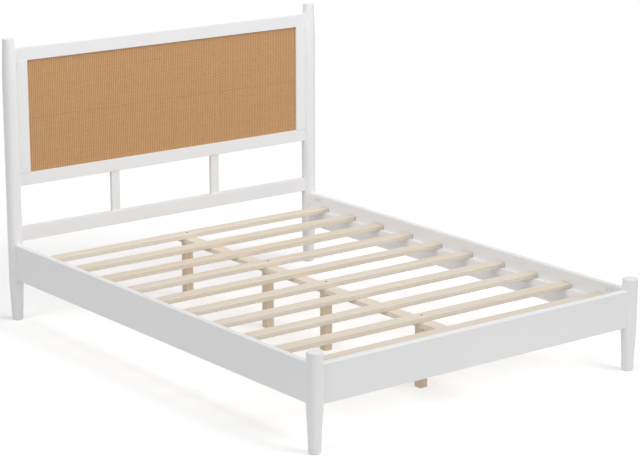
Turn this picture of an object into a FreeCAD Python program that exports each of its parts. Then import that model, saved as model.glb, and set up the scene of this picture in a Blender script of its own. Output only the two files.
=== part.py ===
import FreeCAD, Part
import math
import os

# A queen size platform bed with turned posts, a framed woven panel in the headboard,
# side rails with ledges, slats, and a centre beam on short legs.
# Lengths are millimetres. X runs across the bed, Y from the foot to the head, Z up.
# The origin is on the floor, under the middle of the four posts.
# Pieces of the right side, where X is above zero, are made first and mirrored.

# Space for the mattress
mattress_width = 1524.0
mattress_length = 2032.0
mattress_side_gap = 4.0
mattress_end_gap = 11.0

# Turned posts. A rail end stands in a shallow housing, on a flat near the post's axis
post_diameter = 62.0
post_foot_diameter = 46.0
post_foot_round = 6.0
taper_below_rails = 13.0
foot_post_rise = 45.0
foot_post_top_round = 3.5
head_post_rise = 44.0
head_post_top_diameter = 49.5
head_post_top_taper = 155.0
head_post_top_round = 1.5
seat_offset = 20.0
housing_clearance = 0.2

# Side rails and footboard rail
rail_floor_gap = 181.0
rail_height = 152.0
rail_thickness = 28.0
rail_top_round = 4.0
rail_bottom_round = 2.0
footboard_top_round = 6.0

# Headboard frame, from the lower rail up. The stiles' front stands a little proud of the rails,
# and a shallow gap parts it from the panel rail
headboard_thickness = 24.0
lower_rail_gap = 9.5
lower_rail_height = 60.0
spindle_length = 178.0
panel_rail_height = 54.0
panel_opening_height = 477.5
top_rail_height = 54.0
stile_width = 59.0
stile_rise = 2.0
stile_gap_height = 1.0
stile_gap_depth = 3.0
frame_round = 1.2
opening_round = 0.3
spindle_width = 41.5
spindle_thickness = 16.0
spindle_spacing = 524.0
spindle_offset = -15.0
spindle_round = 1.5

# Woven panel on its board, laid into a rabbet from behind and held by beads
panel_recess = 6.0
rabbet_width = 8.0
panel_clearance = 1.0
rattan_thickness = 2.0
board_thickness = 6.0
bead_width = 10.0

# Ledges and slats
slat_recess = 45.0
slat_count = 10
slat_width = 60.0
slat_thickness = 20.0
slat_round = 2.5
slat_end_gap = 3.0
slat_end_inset = 142.5
ledge_width = 22.0
ledge_height = 30.0
ledge_round = 2.0
ledge_end_gap = 20.0

# Centre beam and legs. The slats are numbered from the head
beam_width = 60.0
beam_thickness = 20.0
beam_round = 1.5
leg_width = 36.0
leg_round = 1.5
leg_slat_numbers = (1, 4, 6, 9)

# Glued dowels
fit_clearance = 0.15
hole_end_gap = 1.0
rail_dowel_diameter = 10.0
rail_dowel_in_rail = 28.0
rail_dowel_in_post = 18.0
rail_dowel_inset = 13.0
rail_dowel_spacing = 20.0
lower_rail_dowel_spacing = 30.0
footboard_dowel_inset = 54.0
frame_dowel_diameter = 8.0
frame_dowel_depth = 14.0
dowel_chamfer = 1.0

# Bolted joint of side rail and post: stud, crescent washer and nut in a milled pocket
pocket_length = 64.0
pocket_height = 34.0
pocket_depth = 22.0
pocket_end_wall = 38.0
pocket_edge_inset = 33.0
stud_diameter = 8.0
stud_past_nut = 4.0
stud_in_post = 22.0
stud_chamfer = 1.0
stud_hole_clearance = 0.5
post_insert_diameter = 12.0
post_insert_length = 25.0
crescent_width = 15.0
crescent_thickness = 7.0
nut_across_flats = 13.0
nut_thickness = 6.5

# Dished covers that close the pockets, pressed in at the rail's inner face
cover_recess = 0.4
cover_nut_gap = 0.5
cover_rim = 1.2
cover_floor = 1.0
cover_dish_inset = 6.0

# Bolt through slat and beam into an insert in the centre leg
leg_bolt_diameter = 6.0
leg_bolt_in_leg = 34.0
leg_bolt_head_diameter = 10.0
leg_bolt_head_depth = 3.0
leg_bolt_socket = 4.0
leg_bolt_socket_depth = 2.0
leg_insert_diameter = 10.0
leg_insert_length = 20.0

# Screws through the ledges, and pegs that locate the slats on them
ledge_screw_count = 6
ledge_screw_diameter = 4.0
ledge_screw_in_rail = 18.0
ledge_screw_head_diameter = 8.0
ledge_screw_head_depth = 3.0
ledge_screw_inset = 11.0
slat_peg_diameter = 6.0
slat_peg_depth = 11.0
slat_peg_chamfer = 0.8

ORIGIN = FreeCAD.Vector(0, 0, 0)
ALONG_X = FreeCAD.Vector(1, 0, 0)
ALONG_Y = FreeCAD.Vector(0, 1, 0)
ALONG_Z = FreeCAD.Vector(0, 0, 1)
SECTION_AXES = {"x": ("y", "z"), "y": ("x", "z"), "z": ("x", "y")}
FULL_TURN = 360.0
HEXAGON_CORNERS = 6
SAME_POINT = 1e-6

# Places worked out from the sizes above
post_radius = post_diameter / 2
post_x = mattress_width / 2 + mattress_side_gap + rail_thickness / 2
post_y = mattress_length / 2 + mattress_end_gap + (rail_thickness + headboard_thickness) / 4
seat_x = post_x - seat_offset
seat_y = post_y - seat_offset
rail_top = rail_floor_gap + rail_height
rail_inner_x = post_x - rail_thickness / 2
rail_outer_x = post_x + rail_thickness / 2
foot_post_height = rail_top + foot_post_rise

lower_rail_bottom = rail_top + lower_rail_gap
lower_rail_top = lower_rail_bottom + lower_rail_height
panel_rail_bottom = lower_rail_top + spindle_length
panel_bottom = panel_rail_bottom + panel_rail_height
panel_top = panel_bottom + panel_opening_height
top_rail_top = panel_top + top_rail_height
head_post_height = top_rail_top + head_post_rise
frame_front = post_y - headboard_thickness / 2
frame_back = post_y + headboard_thickness / 2
post_edge_x = post_x - math.sqrt(post_radius ** 2 - (headboard_thickness / 2) ** 2)
panel_front = frame_front + panel_recess
board_front = panel_front + rattan_thickness
board_back = board_front + board_thickness
stile_inner_x = seat_x - stile_width
rabbet_x = stile_inner_x + rabbet_width
rabbet_bottom = panel_bottom - rabbet_width
rabbet_top = panel_top + rabbet_width

slat_top = rail_top - slat_recess
ledge_top = slat_top - slat_thickness
beam_bottom = ledge_top - beam_thickness
slat_half_length = rail_inner_x - slat_end_gap
first_slat_y = post_y - slat_end_inset
slat_pitch = 2 * first_slat_y / (slat_count - 1)
ledge_half_length = seat_y - ledge_end_gap
ledge_x = rail_inner_x - ledge_width / 2

pocket_end_y = seat_y - pocket_end_wall
crescent_back_y = pocket_end_y - crescent_thickness
stud_end_y = crescent_back_y - nut_thickness - stud_past_nut
stud_heights = (rail_floor_gap + pocket_edge_inset, rail_top - pocket_edge_inset)
nut_corner_radius = nut_across_flats / 2 / math.cos(math.pi / HEXAGON_CORNERS)
cover_front_x = rail_inner_x + cover_recess
cover_back_x = post_x - max(crescent_width / 2, nut_corner_radius) - cover_nut_gap


def rounded_outline(corners):
    """Closed wire through (point, radius) corners, each rounded by a tangent arc."""
    arcs = []
    arrivals = []
    departures = []
    for index, (corner, radius) in enumerate(corners):
        before = (corners[index - 1][0] - corner).normalize()
        after = (corners[(index + 1) % len(corners)][0] - corner).normalize()
        half_angle = before.getAngle(after) / 2
        reach = radius / math.tan(half_angle)
        bisector = (before + after).normalize()
        middle = corner + bisector * (radius / math.sin(half_angle) - radius)
        arrivals.append(corner + before * reach)
        departures.append(corner + after * reach)
        arcs.append(Part.Arc(arrivals[-1], middle, departures[-1]).toShape() if radius else None)
    edges = []
    for index, arc in enumerate(arcs):
        following = arrivals[(index + 1) % len(arcs)]
        if arc:
            edges.append(arc)
        if departures[index].distanceToPoint(following) > SAME_POINT:
            edges.append(Part.makeLine(departures[index], following))
    return Part.Wire(edges)


def bar(low, high, along, rounds=(0, 0, 0, 0)):
    """Straight bar between two opposite corners, its four long edges rounded.

    The rounds go round the section from its low corner, first axis first.
    """
    first, second = SECTION_AXES[along]
    corners = []
    places = ((low, low), (high, low), (high, high), (low, high))
    for (at_first, at_second), radius in zip(places, rounds):
        point = FreeCAD.Vector(low)
        setattr(point, first, getattr(at_first, first))
        setattr(point, second, getattr(at_second, second))
        corners.append((point, radius))
    run = FreeCAD.Vector(0, 0, 0)
    setattr(run, along, getattr(high, along) - getattr(low, along))
    return Part.Face(rounded_outline(corners)).extrude(run)


def turned(profile, start=ORIGIN, direction=ALONG_Z):
    """Turn (radius, distance, round) corners about an axis that leaves start."""
    corners = [(FreeCAD.Vector(radius, 0, along), edge_round) for radius, along, edge_round in profile]
    solid = Part.Face(rounded_outline(corners)).revolve(ORIGIN, ALONG_Z, FULL_TURN)
    solid.Placement = FreeCAD.Placement(start, FreeCAD.Rotation(ALONG_Z, direction))
    return solid


def rod(start, direction, length, diameter, chamfer=0):
    """Round rod from start, with a chamfer at both ends."""
    radius = diameter / 2
    if not chamfer:
        return Part.makeCylinder(radius, length, start, direction)
    profile = (
        (0, 0, 0),
        (radius - chamfer, 0, 0),
        (radius, chamfer, 0),
        (radius, length - chamfer, 0),
        (radius - chamfer, length, 0),
        (0, length, 0),
    )
    return turned(profile, start, direction)


def rod_hole(start, direction, length, diameter):
    """Hole for a rod, a little wider and longer than the rod."""
    deeper_start = start - direction * hole_end_gap
    return rod(deeper_start, direction, length + 2 * hole_end_gap, diameter + 2 * fit_clearance)


def countersunk(start, direction, length, diameter, head_diameter, head_depth, grow=0):
    """Countersunk screw from its head's face at start, or with grow the hole for it."""
    rim = ((head_diameter / 2 + grow, grow, 0),) if grow else ()
    profile = (
        (0, 0, 0),
        (head_diameter / 2 + grow, 0, 0),
        *rim,
        (diameter / 2 + grow, head_depth + grow, 0),
        (diameter / 2 + grow, length + grow, 0),
        (0, length + grow, 0),
    )
    return turned(profile, start, direction)


def hexagon(start, direction, across_flats, thickness):
    """Hexagonal prism from start along a direction."""
    corner_radius = across_flats / 2 / math.cos(math.pi / HEXAGON_CORNERS)
    angles = [2 * math.pi * corner / HEXAGON_CORNERS for corner in range(HEXAGON_CORNERS)]
    points = [FreeCAD.Vector(math.cos(a), math.sin(a), 0) * corner_radius for a in angles]
    prism = Part.Face(Part.makePolygon(points + points[:1])).extrude(ALONG_Z * thickness)
    prism.Placement = FreeCAD.Placement(start, FreeCAD.Rotation(ALONG_Z, direction))
    return prism


def across(shape):
    """The shape mirrored to the other side of the bed."""
    return shape.mirror(ORIGIN, ALONG_X)


def endwise(shape):
    """The shape mirrored from the head end to the foot end."""
    return shape.mirror(ORIGIN, ALONG_Y)


def both_sides(shapes):
    """The shapes and their copies on the other side."""
    return shapes + [across(shape) for shape in shapes]


def all_corners(shapes):
    """The shapes of the right head corner and their copies at the other corners."""
    return both_sides(shapes + [endwise(shape) for shape in shapes])


def slat_y(number):
    """Middle of a slat, counted from one at the head."""
    return first_slat_y - (number - 1) * slat_pitch


def side_rail_blank(grow=0):
    """Right side rail before its pockets, or with grow the cutter for its housings."""
    low = FreeCAD.Vector(rail_inner_x - grow, -seat_y, rail_floor_gap - grow)
    high = FreeCAD.Vector(rail_outer_x + grow, seat_y, rail_top + grow)
    bottom = rail_bottom_round + grow
    top = rail_top_round + grow
    return bar(low, high, "y", (bottom, bottom, top, top))


def footboard_blank(grow=0):
    """Footboard rail before its dowel holes, or with grow the cutter for its housings."""
    half = rail_thickness / 2 + grow
    low = FreeCAD.Vector(-seat_x, -post_y - half, rail_floor_gap - grow)
    high = FreeCAD.Vector(seat_x, -post_y + half, rail_top + grow)
    bottom = rail_bottom_round + grow
    top = footboard_top_round + grow
    return bar(low, high, "x", (bottom, bottom, top, top))


def frame_rail_blank(bottom, top, lower_front_round=frame_round, upper_front_round=frame_round):
    """Headboard rail from post to post."""
    low = FreeCAD.Vector(-seat_x, frame_front, bottom)
    high = FreeCAD.Vector(seat_x, frame_back, top)
    return bar(low, high, "x", (lower_front_round, frame_round, frame_round, upper_front_round))


def frame_groove(bottom, top):
    """Cutter for the groove that takes the headboard frame in both head posts."""
    low = FreeCAD.Vector(-seat_x, frame_front - housing_clearance, bottom - housing_clearance)
    high = FreeCAD.Vector(seat_x, frame_back + housing_clearance, top + housing_clearance)
    return bar(low, high, "x")


def rabbet():
    """Cutter for the rabbet that takes the woven panel, its board and the beads."""
    low = FreeCAD.Vector(-rabbet_x, panel_front, rabbet_bottom)
    high = FreeCAD.Vector(rabbet_x, frame_back, rabbet_top)
    return bar(low, high, "x")


def frame_rail_dowel_starts():
    """Inner ends of the right dowels of each headboard rail, by the rail's name."""
    x = seat_x - rail_dowel_in_rail
    lower_middle = (lower_rail_bottom + lower_rail_top) / 2
    outer_top = top_rail_top - rail_dowel_inset
    outer_panel = panel_rail_bottom + rail_dowel_inset
    heights = {
        "top": (outer_top, outer_top - rail_dowel_spacing),
        "panel": (outer_panel, outer_panel + rail_dowel_spacing),
        "lower": (lower_middle - lower_rail_dowel_spacing / 2, lower_middle + lower_rail_dowel_spacing / 2),
    }
    return {rail: [FreeCAD.Vector(x, post_y, z) for z in levels] for rail, levels in heights.items()}


def rail_dowels(starts, maker):
    """Dowels or their holes between rails and posts, at both sides."""
    length = rail_dowel_in_rail + rail_dowel_in_post
    return both_sides([maker(start, ALONG_X, length, rail_dowel_diameter) for start in starts])


def footboard_dowel_starts():
    """Inner ends of the right footboard dowels."""
    levels = (rail_floor_gap + footboard_dowel_inset, rail_top - footboard_dowel_inset)
    return [FreeCAD.Vector(seat_x - rail_dowel_in_rail, -post_y, z) for z in levels]


def frame_dowel_starts():
    """Lower ends of the upright dowels in the stiles and spindles, by the piece's name."""
    stile_x = (rabbet_x + seat_x - rail_dowel_in_rail) / 2
    stile_levels = (panel_bottom - frame_dowel_depth, panel_top - frame_dowel_depth)
    spindle_levels = (lower_rail_top - frame_dowel_depth, panel_rail_bottom - frame_dowel_depth)
    starts = {
        "stile_right": [FreeCAD.Vector(stile_x, post_y, z) for z in stile_levels],
        "stile_left": [FreeCAD.Vector(-stile_x, post_y, z) for z in stile_levels],
    }
    for name, x in spindle_places().items():
        starts["spindle_" + name] = [FreeCAD.Vector(x, post_y, z) for z in spindle_levels]
    return starts


def frame_dowels(maker):
    """Upright dowels or their holes in the whole headboard frame."""
    length = 2 * frame_dowel_depth
    starts = [start for group in frame_dowel_starts().values() for start in group]
    return [maker(start, ALONG_Z, length, frame_dowel_diameter) for start in starts]


def dowel(start, direction, length, diameter):
    """Glued dowel with chamfered ends."""
    return rod(start, direction, length, diameter, dowel_chamfer)


def spindle_places():
    """Middle of each spindle across the bed."""
    return {
        "left": spindle_offset - spindle_spacing / 2,
        "right": spindle_offset + spindle_spacing / 2,
    }


def insert_holes():
    """Holes for the stud inserts, and past them for the studs, in the right posts."""
    holes = []
    for z in stud_heights:
        start = FreeCAD.Vector(post_x, seat_y, z)
        holes.append(rod(start, ALONG_Y, post_insert_length, post_insert_diameter + 2 * fit_clearance))
    return holes


def head_post():
    """Right head post: straight, with a tapered foot and a tapered top."""
    straight_top = head_post_height - head_post_top_taper
    profile = (
        (0, 0, 0),
        (post_foot_diameter / 2, 0, post_foot_round),
        (post_radius, rail_floor_gap - taper_below_rails, 0),
        (post_radius, straight_top, 0),
        (head_post_top_diameter / 2, head_post_height, head_post_top_round),
        (0, head_post_height, 0),
    )
    blank = turned(profile, FreeCAD.Vector(post_x, post_y, 0))
    starts = [start for group in frame_rail_dowel_starts().values() for start in group]
    cutters = [
        side_rail_blank(housing_clearance),
        frame_groove(lower_rail_bottom, lower_rail_top),
        frame_groove(panel_rail_bottom, top_rail_top),
    ]
    return blank.cut(cutters + rail_dowels(starts, rod_hole) + insert_holes())


def foot_post():
    """Right foot post: short, with a tapered foot and a rounded top."""
    profile = (
        (0, 0, 0),
        (post_foot_diameter / 2, 0, post_foot_round),
        (post_radius, rail_floor_gap - taper_below_rails, 0),
        (post_radius, foot_post_height, foot_post_top_round),
        (0, foot_post_height, 0),
    )
    blank = turned(profile, FreeCAD.Vector(post_x, -post_y, 0))
    cutters = [side_rail_blank(housing_clearance), footboard_blank(housing_clearance)]
    holes = rail_dowels(footboard_dowel_starts(), rod_hole)
    return blank.cut(cutters + holes + [endwise(hole) for hole in insert_holes()])


def top_rail():
    """Headboard top rail, rabbeted behind its lower edge."""
    holes = rail_dowels(frame_rail_dowel_starts()["top"], rod_hole) + frame_dowels(rod_hole)
    blank = frame_rail_blank(panel_top, top_rail_top, lower_front_round=opening_round)
    return blank.cut([rabbet()] + holes)


def panel_rail():
    """Headboard rail under the woven panel, rabbeted behind its upper edge."""
    holes = rail_dowels(frame_rail_dowel_starts()["panel"], rod_hole) + frame_dowels(rod_hole)
    blank = frame_rail_blank(panel_rail_bottom, panel_bottom, upper_front_round=opening_round)
    return blank.cut([rabbet()] + holes)


def lower_rail():
    """Headboard rail just above the side rails."""
    holes = rail_dowels(frame_rail_dowel_starts()["lower"], rod_hole) + frame_dowels(rod_hole)
    return frame_rail_blank(lower_rail_bottom, lower_rail_top).cut(holes)


def stile():
    """Right headboard stile, rabbeted behind its inner edge; only its tongue is in the post's groove."""
    low = FreeCAD.Vector(stile_inner_x, frame_front - stile_rise, panel_bottom)
    high = FreeCAD.Vector(seat_x, frame_back, panel_top)
    beside_tongue_low = FreeCAD.Vector(post_edge_x, frame_front - stile_rise, panel_bottom)
    beside_tongue = bar(beside_tongue_low, FreeCAD.Vector(seat_x, frame_front, panel_top), "z")
    gap_high = FreeCAD.Vector(seat_x, frame_front + stile_gap_depth, panel_bottom + stile_gap_height)
    blank = bar(low, high, "z", (frame_round, 0, 0, frame_round))
    return blank.cut([beside_tongue, bar(low, gap_high, "x"), rabbet()] + frame_dowels(rod_hole))


def spindle(name):
    """Flat spindle between the lower rail and the panel rail."""
    x = spindle_places()[name]
    low = FreeCAD.Vector(x - spindle_width / 2, post_y - spindle_thickness / 2, lower_rail_top)
    high = FreeCAD.Vector(x + spindle_width / 2, post_y + spindle_thickness / 2, panel_rail_bottom)
    return bar(low, high, "z", (spindle_round,) * 4).cut(frame_dowels(rod_hole))


def panel_layer(front, back):
    """Flat layer in the rabbet, from its front face to its back face."""
    low = FreeCAD.Vector(-rabbet_x + panel_clearance, front, rabbet_bottom + panel_clearance)
    high = FreeCAD.Vector(rabbet_x - panel_clearance, back, rabbet_top - panel_clearance)
    return bar(low, high, "x")


def beads():
    """Four square beads behind the board, the upright ones between the other two."""
    upper_low = FreeCAD.Vector(-rabbet_x, board_back, rabbet_top - bead_width)
    upper = bar(upper_low, FreeCAD.Vector(rabbet_x, frame_back, rabbet_top), "x")
    lower_high = FreeCAD.Vector(rabbet_x, frame_back, rabbet_bottom + bead_width)
    lower = bar(FreeCAD.Vector(-rabbet_x, board_back, rabbet_bottom), lower_high, "x")
    side_low = FreeCAD.Vector(rabbet_x - bead_width, board_back, rabbet_bottom + bead_width)
    side = bar(side_low, FreeCAD.Vector(rabbet_x, frame_back, rabbet_top - bead_width), "z")
    return [upper, lower, side, across(side)]


def pocket_outline(x, z, inset=0):
    """Round-ended outline of a pocket at the right head corner, drawn in by an inset."""
    radius = pocket_height / 2 - inset
    foot_end = pocket_end_y - pocket_length + inset
    head_end = pocket_end_y - inset
    places = ((foot_end, z - radius), (head_end, z - radius), (head_end, z + radius), (foot_end, z + radius))
    return rounded_outline([(FreeCAD.Vector(x, y, height), radius) for y, height in places])


def pockets():
    """Milled pockets in the right rail's inner face at the head, one for each stud."""
    return [Part.Face(pocket_outline(rail_inner_x, z)).extrude(ALONG_X * pocket_depth) for z in stud_heights]


def pocket_covers():
    """Plastic covers of the right head corner's pockets, dished so that a fingertip lifts them."""
    made = []
    for z in stud_heights:
        edge = pocket_outline(cover_front_x, z, fit_clearance)
        blank = Part.Face(edge).extrude(ALONG_X * (cover_back_x - cover_front_x))
        dish_rim = pocket_outline(cover_front_x, z, cover_rim)
        dish_floor = pocket_outline(cover_back_x - cover_floor, z, cover_dish_inset)
        made.append(blank.cut(Part.makeLoft([dish_rim, dish_floor], True, True)))
    return made


def side_rail():
    """Right side rail with a pocket and a bore for each stud at both ends."""
    bores = []
    bore_diameter = stud_diameter + 2 * stud_hole_clearance
    for z in stud_heights:
        start = FreeCAD.Vector(post_x, stud_end_y, z)
        bores.append(rod(start, ALONG_Y, seat_y - stud_end_y, bore_diameter))
    head_end = pockets() + bores
    foot_end = [endwise(cutter) for cutter in head_end]
    return side_rail_blank().cut(head_end + foot_end + ledge_screws(fit_clearance))


def footboard_rail():
    """Footboard rail between the foot posts."""
    return footboard_blank().cut(rail_dowels(footboard_dowel_starts(), rod_hole))


def crescent_washers():
    """Crescent washers of the right head corner, round side in the pocket's end."""
    washers = []
    radius = pocket_height / 2
    for z in stud_heights:
        arc_middle = FreeCAD.Vector(post_x - crescent_width / 2, pocket_end_y - radius, z)
        disc = rod(arc_middle, ALONG_X, crescent_width, pocket_height - 2 * fit_clearance)
        low = FreeCAD.Vector(post_x - crescent_width / 2, crescent_back_y, z - radius)
        high = FreeCAD.Vector(post_x + crescent_width / 2, pocket_end_y, z + radius)
        bore_start = FreeCAD.Vector(post_x, crescent_back_y, z)
        bore = rod(bore_start, ALONG_Y, crescent_thickness, stud_diameter + 2 * stud_hole_clearance)
        washers.append(disc.common(bar(low, high, "x")).cut(bore))
    return washers


def nuts():
    """Hexagon nuts of the right head corner, against the crescent washers."""
    made = []
    for z in stud_heights:
        start = FreeCAD.Vector(post_x, crescent_back_y - nut_thickness, z)
        bore = rod(start, ALONG_Y, nut_thickness, stud_diameter + 2 * fit_clearance)
        made.append(hexagon(start, ALONG_Y, nut_across_flats, nut_thickness).cut(bore))
    return made


def studs():
    """Threaded studs of the right head corner, plain rods at the thread's diameter."""
    length = seat_y + stud_in_post - stud_end_y
    starts = [FreeCAD.Vector(post_x, stud_end_y, z) for z in stud_heights]
    return [rod(start, ALONG_Y, length, stud_diameter, stud_chamfer) for start in starts]


def post_inserts():
    """Threaded inserts of the right head corner, flush with the seat."""
    made = []
    for z in stud_heights:
        start = FreeCAD.Vector(post_x, seat_y, z)
        sleeve = rod(start, ALONG_Y, post_insert_length, post_insert_diameter)
        bore = rod(start, ALONG_Y, post_insert_length, stud_diameter + 2 * fit_clearance)
        made.append(sleeve.cut(bore))
    return made


def ledge():
    """Right ledge, screwed to the side rail, with a hole for each slat peg."""
    low = FreeCAD.Vector(rail_inner_x - ledge_width, -ledge_half_length, ledge_top - ledge_height)
    high = FreeCAD.Vector(rail_inner_x, ledge_half_length, ledge_top)
    blank = bar(low, high, "y", (ledge_round, 0, 0, ledge_round))
    return blank.cut(ledge_screws(fit_clearance) + slat_pegs(rod_hole))


def ledge_screws(grow=0):
    """Screws through the right ledge into the rail, under some of the slats."""
    z = ledge_top - ledge_height + ledge_screw_inset
    x = rail_inner_x - ledge_width
    length = ledge_width + ledge_screw_in_rail
    slats_per_screw = (slat_count - 1) / (ledge_screw_count - 1)
    numbers = [1 + round(place * slats_per_screw) for place in range(ledge_screw_count)]
    starts = [FreeCAD.Vector(x, slat_y(number), z) for number in numbers]
    sizes = (length, ledge_screw_diameter, ledge_screw_head_diameter, ledge_screw_head_depth)
    return [countersunk(start, ALONG_X, *sizes, grow) for start in starts]


def slat_pegs(maker):
    """Pegs or their holes between the right ledge and the slats."""
    starts = [
        FreeCAD.Vector(ledge_x, slat_y(number), ledge_top - slat_peg_depth)
        for number in range(1, slat_count + 1)
    ]
    return [maker(start, ALONG_Z, 2 * slat_peg_depth, slat_peg_diameter) for start in starts]


def slat_peg(start, direction, length, diameter):
    """Peg with chamfered ends."""
    return rod(start, direction, length, diameter, slat_peg_chamfer)


def slat(number):
    """Slat across the bed, drilled for its pegs and, over a leg, for the bolt."""
    y = slat_y(number)
    low = FreeCAD.Vector(-slat_half_length, y - slat_width / 2, ledge_top)
    high = FreeCAD.Vector(slat_half_length, y + slat_width / 2, slat_top)
    cutters = both_sides(slat_pegs(rod_hole)[number - 1:number])
    if number in leg_slat_numbers:
        cutters.append(leg_bolt_blank(number, fit_clearance))
    return bar(low, high, "x", (slat_round,) * 4).cut(cutters)


def beam():
    """Flat centre beam under the slats, drilled for the leg bolts."""
    half_length = first_slat_y + slat_width / 2
    low = FreeCAD.Vector(-beam_width / 2, -half_length, beam_bottom)
    high = FreeCAD.Vector(beam_width / 2, half_length, ledge_top)
    holes = [leg_bolt_blank(number, fit_clearance) for number in leg_slat_numbers]
    return bar(low, high, "y", (beam_round,) * 4).cut(holes)


def leg(number):
    """Square centre leg under one of the slats, bored for its insert and bolt."""
    y = slat_y(number)
    low = FreeCAD.Vector(-leg_width / 2, y - leg_width / 2, 0)
    high = FreeCAD.Vector(leg_width / 2, y + leg_width / 2, beam_bottom)
    top = FreeCAD.Vector(0, y, beam_bottom)
    insert_hole = rod(top, -ALONG_Z, leg_insert_length, leg_insert_diameter + 2 * fit_clearance)
    cutters = [insert_hole, leg_bolt_blank(number, fit_clearance)]
    return bar(low, high, "z", (leg_round,) * 4).cut(cutters)


def leg_bolt_blank(number, grow=0):
    """Bolt down from a slat's top into the leg, or with grow the hole for it."""
    start = FreeCAD.Vector(0, slat_y(number), slat_top)
    length = slat_thickness + beam_thickness + leg_bolt_in_leg
    sizes = (length, leg_bolt_diameter, leg_bolt_head_diameter, leg_bolt_head_depth)
    return countersunk(start, -ALONG_Z, *sizes, grow)


def leg_bolt(number):
    """Countersunk bolt with a hexagon socket."""
    start = FreeCAD.Vector(0, slat_y(number), slat_top)
    socket = hexagon(start, -ALONG_Z, leg_bolt_socket, leg_bolt_socket_depth)
    return leg_bolt_blank(number).cut(socket)


def leg_insert(number):
    """Threaded insert, flush with the leg's top."""
    top = FreeCAD.Vector(0, slat_y(number), beam_bottom)
    sleeve = rod(top, -ALONG_Z, leg_insert_length, leg_insert_diameter)
    bore = rod(top, -ALONG_Z, leg_insert_length, leg_bolt_diameter + 2 * fit_clearance)
    return sleeve.cut(bore)


def pieces():
    """Every node's name and its list of shapes."""
    made = {}
    for name, maker in (("head_post", head_post), ("foot_post", foot_post),
                        ("headboard_stile", stile), ("side_rail", side_rail), ("slat_ledge", ledge)):
        right = maker()
        made[name + "_right"] = [right]
        made[name + "_left"] = [across(right)]
    made["headboard_top_rail"] = [top_rail()]
    made["headboard_panel_rail"] = [panel_rail()]
    made["headboard_lower_rail"] = [lower_rail()]
    for name in spindle_places():
        made["headboard_spindle_" + name] = [spindle(name)]
    made["rattan_panel"] = [panel_layer(panel_front, board_front)]
    made["panel_backing_board"] = [panel_layer(board_front, board_back)]
    made["panel_beads"] = beads()
    made["footboard_rail"] = [footboard_rail()]
    for number in range(1, slat_count + 1):
        made["slat_%02d" % number] = [slat(number)]
    made["centre_beam"] = [beam()]
    for place, number in enumerate(leg_slat_numbers, start=1):
        made["centre_leg_%d" % place] = [leg(number)]
    made["centre_leg_bolts"] = [leg_bolt(number) for number in leg_slat_numbers]
    made["centre_leg_inserts"] = [leg_insert(number) for number in leg_slat_numbers]
    made["bed_studs"] = all_corners(studs())
    made["bed_crescent_washers"] = all_corners(crescent_washers())
    made["bed_nuts"] = all_corners(nuts())
    made["pocket_covers"] = all_corners(pocket_covers())
    made["post_inserts"] = all_corners(post_inserts())
    starts = [start for group in frame_rail_dowel_starts().values() for start in group]
    made["headboard_rail_dowels"] = rail_dowels(starts, dowel)
    made["headboard_frame_dowels"] = frame_dowels(dowel)
    made["footboard_dowels"] = rail_dowels(footboard_dowel_starts(), dowel)
    made["ledge_screws"] = both_sides(ledge_screws())
    made["slat_pegs"] = both_sides(slat_pegs(slat_peg))
    return made


def write(name, shapes):
    """Write a node's solids to its file and print what it holds."""
    solids = [solid for shape in shapes for solid in shape.Solids]
    node = Part.makeCompound(solids) if len(solids) > 1 else solids[0]
    node.exportStep("parts/" + name + ".step")
    valid = all(solid.isValid() for solid in solids)
    print("%-26s solids %2d  volume %12.1f  valid %s" % (name, len(solids), node.Volume, valid))


os.makedirs("parts", exist_ok=True)
for node_name, node_shapes in pieces().items():
    write(node_name, node_shapes)
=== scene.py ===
"""White lacquered platform bed with a woven rattan headboard.

Lengths are in metres unless a name ends in mm. The origin lies on the floor under the middle
of the four posts, +X points to the right seen from the foot, +Y to the head and +Z up.
"""

import logging
import math
from dataclasses import dataclass
from enum import Enum
from typing import Dict, Iterable, List, Optional, Sequence, Tuple, Union

import bpy
import numpy as np
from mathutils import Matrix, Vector


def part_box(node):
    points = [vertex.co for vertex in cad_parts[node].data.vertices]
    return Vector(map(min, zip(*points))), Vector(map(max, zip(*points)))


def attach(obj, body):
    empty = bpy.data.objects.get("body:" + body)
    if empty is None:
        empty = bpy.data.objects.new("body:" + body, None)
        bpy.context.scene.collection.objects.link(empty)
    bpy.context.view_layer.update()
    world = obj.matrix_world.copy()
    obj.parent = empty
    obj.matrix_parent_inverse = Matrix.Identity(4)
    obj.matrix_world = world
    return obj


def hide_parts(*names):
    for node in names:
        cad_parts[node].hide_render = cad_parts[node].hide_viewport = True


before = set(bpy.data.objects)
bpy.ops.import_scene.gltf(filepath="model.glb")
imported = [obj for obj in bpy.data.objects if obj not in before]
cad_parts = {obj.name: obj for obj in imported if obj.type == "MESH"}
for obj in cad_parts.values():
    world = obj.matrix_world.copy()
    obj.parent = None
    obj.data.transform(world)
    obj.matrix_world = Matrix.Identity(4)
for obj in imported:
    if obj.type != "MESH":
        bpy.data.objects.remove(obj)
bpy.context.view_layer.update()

MM = 0.001
BODY = "root"
WHITE = "#FFFFFF"

# Sockets of a mixing node that mixes colours
MIX_FACTOR, MIX_FIRST, MIX_SECOND, MIX_RESULT = 0, 6, 7, 2

# How much finer structure a noise carries
SMOOTH, LIVELY, RICH = 1.0, 2.0, 3.0

# Share of the map that stays free at both edges of a strip, and where its crown then lies
MAP_MARGIN = 0.02
MAP_MIDDLE = MAP_MARGIN + (1.0 - 2 * MAP_MARGIN) / 3

log = logging.getLogger("bed")

Pair = Tuple[float, float]
Triple = Tuple[float, float, float]
Feed = Union[float, Sequence[float], bpy.types.NodeSocket]


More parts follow.
